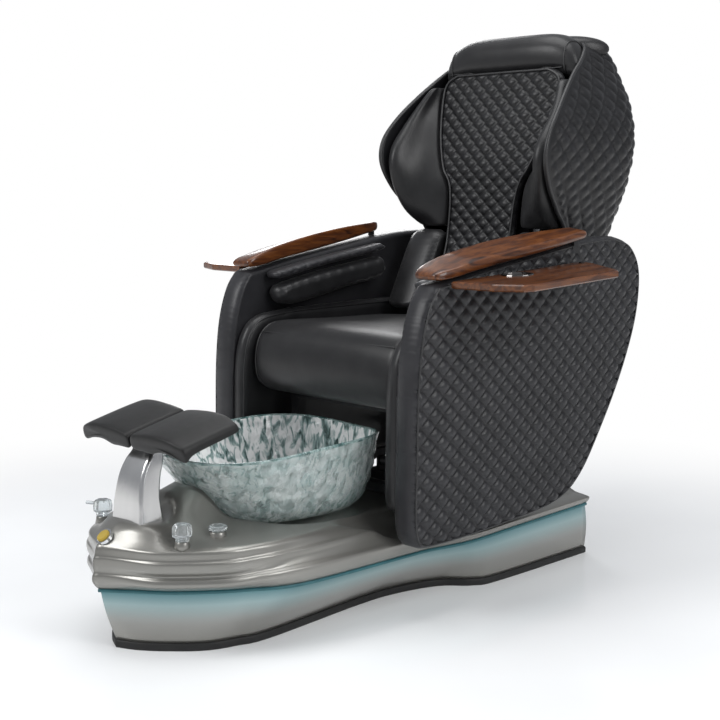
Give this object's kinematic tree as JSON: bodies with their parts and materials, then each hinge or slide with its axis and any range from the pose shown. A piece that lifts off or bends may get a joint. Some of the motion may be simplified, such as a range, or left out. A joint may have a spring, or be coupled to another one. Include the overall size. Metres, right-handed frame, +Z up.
{
  "type": "pedicure spa chair",
  "caption": "Quilted leather massage lounger with wooden arms and swing-out trays on a metallic foot-spa base with a glass bowl and a tilting footrest.",
  "frame": {"origin": "on the floor, on the mid plane, under the middle of the 1400 mm long base", "axes": "+Z up; the sitter faces -Y; +X is the sitter's left"},
  "size_m": [1.22, 1.7081, 1.4673],
  "materials": {
    "leather": "semi-matte upholstery leather over foam, quilted in places",
    "pewter_paint": "glossy pewter metallic lacquer",
    "chrome": "polished",
    "steel": "satin",
    "walnut": "glossy reddish walnut",
    "bowl_glass": "thick rippled aqua glass",
    "clear_acrylic": "clear acrylic",
    "black_rubber": "matte",
    "black_plastic": "satin",
    "led_glow": "diffuser that glows blue-green"
  },
  "bodies": {
    "base": {"kick_strip": "black_rubber", "base_floor_pan": "steel", "base_lower_shell": "pewter_paint", "led_strip": "led_glow", "base_top_deck": "pewter_paint", "glass_bowl": "bowl_glass", "bowl_drain_fitting": "chrome", "drain_hose": "black_plastic", "water_spout": "clear_acrylic", "footrest_post": "chrome", "mixer_valve": "chrome", "jet_pump": "black_plastic", "control_box": "black_plastic", "seat_rail_left": "steel", "seat_rail_right": "steel", "slide_actuator_tube": "steel", "button_bezel": "chrome"},
    "hot_knob": {"hot_knob": "clear_acrylic"},
    "cold_knob": {"cold_knob": "clear_acrylic"},
    "drain_knob": {"drain_knob": "clear_acrylic"},
    "drain_stopper": {"drain_stopper": "chrome"},
    "jet_button": {"jet_button": "black_plastic"},
    "footrest": {"footrest_bracket": "steel", "footrest_pad_left": "leather", "footrest_pad_right": "leather"},
    "chair": {"seat_frame": "steel", "slide_actuator_rod": "chrome", "seat_cushion": "leather", "side_panel_left": "leather", "side_panel_right": "leather", "arm_inner_pad_left": "leather", "arm_inner_pad_right": "leather", "arm_lower_pad_left": "leather", "arm_lower_pad_right": "leather", "arm_flap_left": "leather", "arm_flap_right": "leather", "arm_hinge_left": "steel", "arm_hinge_right": "steel", "tray_bracket_left": "steel", "tray_bracket_right": "steel"},
    "arm_left": {"wood_arm_left": "walnut"},
    "arm_right": {"wood_arm_right": "walnut"},
    "tray_left": {"tray_left": "walnut", "cup_holder_left": "chrome"},
    "tray_right": {"tray_right": "walnut", "cup_holder_right": "chrome"},
    "back": {"back_frame": "steel", "back_shell": "leather", "centre_pad": "leather", "shoulder_wing_left": "leather", "shoulder_wing_right": "leather", "hip_bolster_left": "leather", "hip_bolster_right": "leather", "headrest_pillow": "leather"},
    "massage_carriage": {"massage_carriage": "black_plastic"},
    "upper_rollers": {"upper_rollers": "black_plastic"},
    "lower_rollers": {"lower_rollers": "black_plastic"},
    "drive_pinion": {"drive_pinion": "steel"},
    "recline_actuator_body": {"recline_actuator_body": "black_plastic"},
    "recline_actuator_rod": {"recline_actuator_rod": "chrome"}
  },
  "joints": [
    {"name": "hot_knob_turn", "type": "hinge", "parent": "base", "child": "hot_knob", "pos_m": [0.157, -0.618, 0.28], "axis": [0, 0, 1], "range_deg": [0, 90]},
    {"name": "cold_knob_turn", "type": "hinge", "parent": "base", "child": "cold_knob", "pos_m": [-0.157, -0.618, 0.28], "axis": [0, 0, 1], "range_deg": [0, 90]},
    {"name": "drain_knob_turn", "type": "hinge", "parent": "base", "child": "drain_knob", "pos_m": [0.155, -0.517, 0.277], "axis": [0, 0, 1], "range_deg": [0, 90]},
    {"name": "drain_stopper_lift", "type": "slide", "parent": "base", "child": "drain_stopper", "axis": [0, 0, 1], "range_m": [0, 0.0078]},
    {"name": "jet_button_press", "type": "slide", "parent": "base", "child": "jet_button", "axis": [0, 0.6428, -0.766], "range_m": [0, 0.002]},
    {"name": "footrest_tilt", "type": "hinge", "parent": "base", "child": "footrest", "pos_m": [0, -0.588, 0.456], "axis": [1, 0, 0], "range_deg": [-10, 15]},
    {"name": "seat_slide", "type": "slide", "parent": "base", "child": "chair", "axis": [0, 1, 0], "range_m": [0, 0.1]},
    {"name": "arm_left_lift", "type": "hinge", "parent": "chair", "child": "arm_left", "pos_m": [0.3765, 0.5, 0.92], "axis": [-1, 0, 0], "range_deg": [0, 60]},
    {"name": "arm_right_lift", "type": "hinge", "parent": "chair", "child": "arm_right", "pos_m": [-0.3765, 0.5, 0.92], "axis": [-1, 0, 0], "range_deg": [0, 60]},
    {"name": "tray_left_swing", "type": "hinge", "parent": "chair", "child": "tray_left", "pos_m": [0.419, 0.478, 0.829], "axis": [0, -0.0515, 0.9987], "range_deg": [0, 90]},
    {"name": "tray_right_swing", "type": "hinge", "parent": "chair", "child": "tray_right", "pos_m": [-0.419, 0.478, 0.829], "axis": [0, 0.0515, -0.9987], "range_deg": [0, 90]},
    {"name": "back_recline", "type": "hinge", "parent": "chair", "child": "back", "pos_m": [0, 0.47, 0.54], "axis": [-1, 0, 0], "range_deg": [0, 22]},
    {"name": "massage_travel", "type": "slide", "parent": "back", "child": "massage_carriage", "axis": [0, 0.2785, 0.9604], "range_m": [-0.16, 0.3]},
    {"name": "upper_roller_spin", "type": "hinge", "parent": "massage_carriage", "child": "upper_rollers", "pos_m": [0, 0.63366, 0.9835], "axis": [1, 0, 0], "continuous": true},
    {"name": "lower_roller_spin", "type": "hinge", "parent": "massage_carriage", "child": "lower_rollers", "pos_m": [0, 0.60135, 0.87209], "axis": [1, 0, 0], "continuous": true},
    {"name": "pinion_spin", "type": "hinge", "parent": "massage_carriage", "child": "drive_pinion", "pos_m": [0.142, 0.6444, 0.92], "axis": [0, 0.9604, -0.2785], "range_deg": [-780, 1440]},
    {"name": "recline_actuator_pivot", "type": "hinge", "parent": "chair", "child": "recline_actuator_body", "pos_m": [0, 0.19, 0.3], "axis": [-1, 0, 0], "range_deg": [0, 1.6]},
    {"name": "recline_actuator_extend", "type": "slide", "parent": "recline_actuator_body", "child": "recline_actuator_rod", "axis": [0, 0.9353, 0.3539], "range_m": [-0.0507, 0]}
  ],
  "couplings": [
    {"joint": "drain_knob_turn", "follows": "drain_stopper_lift", "rad_per_m": 200},
    {"joint": "lower_roller_spin", "follows": "upper_roller_spin", "ratio": 1},
    {"joint": "pinion_spin", "follows": "massage_travel", "rad_per_m": 83.333},
    {"joint": "recline_actuator_pivot", "follows": "back_recline", "ratio": 0.0686},
    {"joint": "recline_actuator_extend", "follows": "back_recline", "m_per_rad": -0.1315}
  ]
}
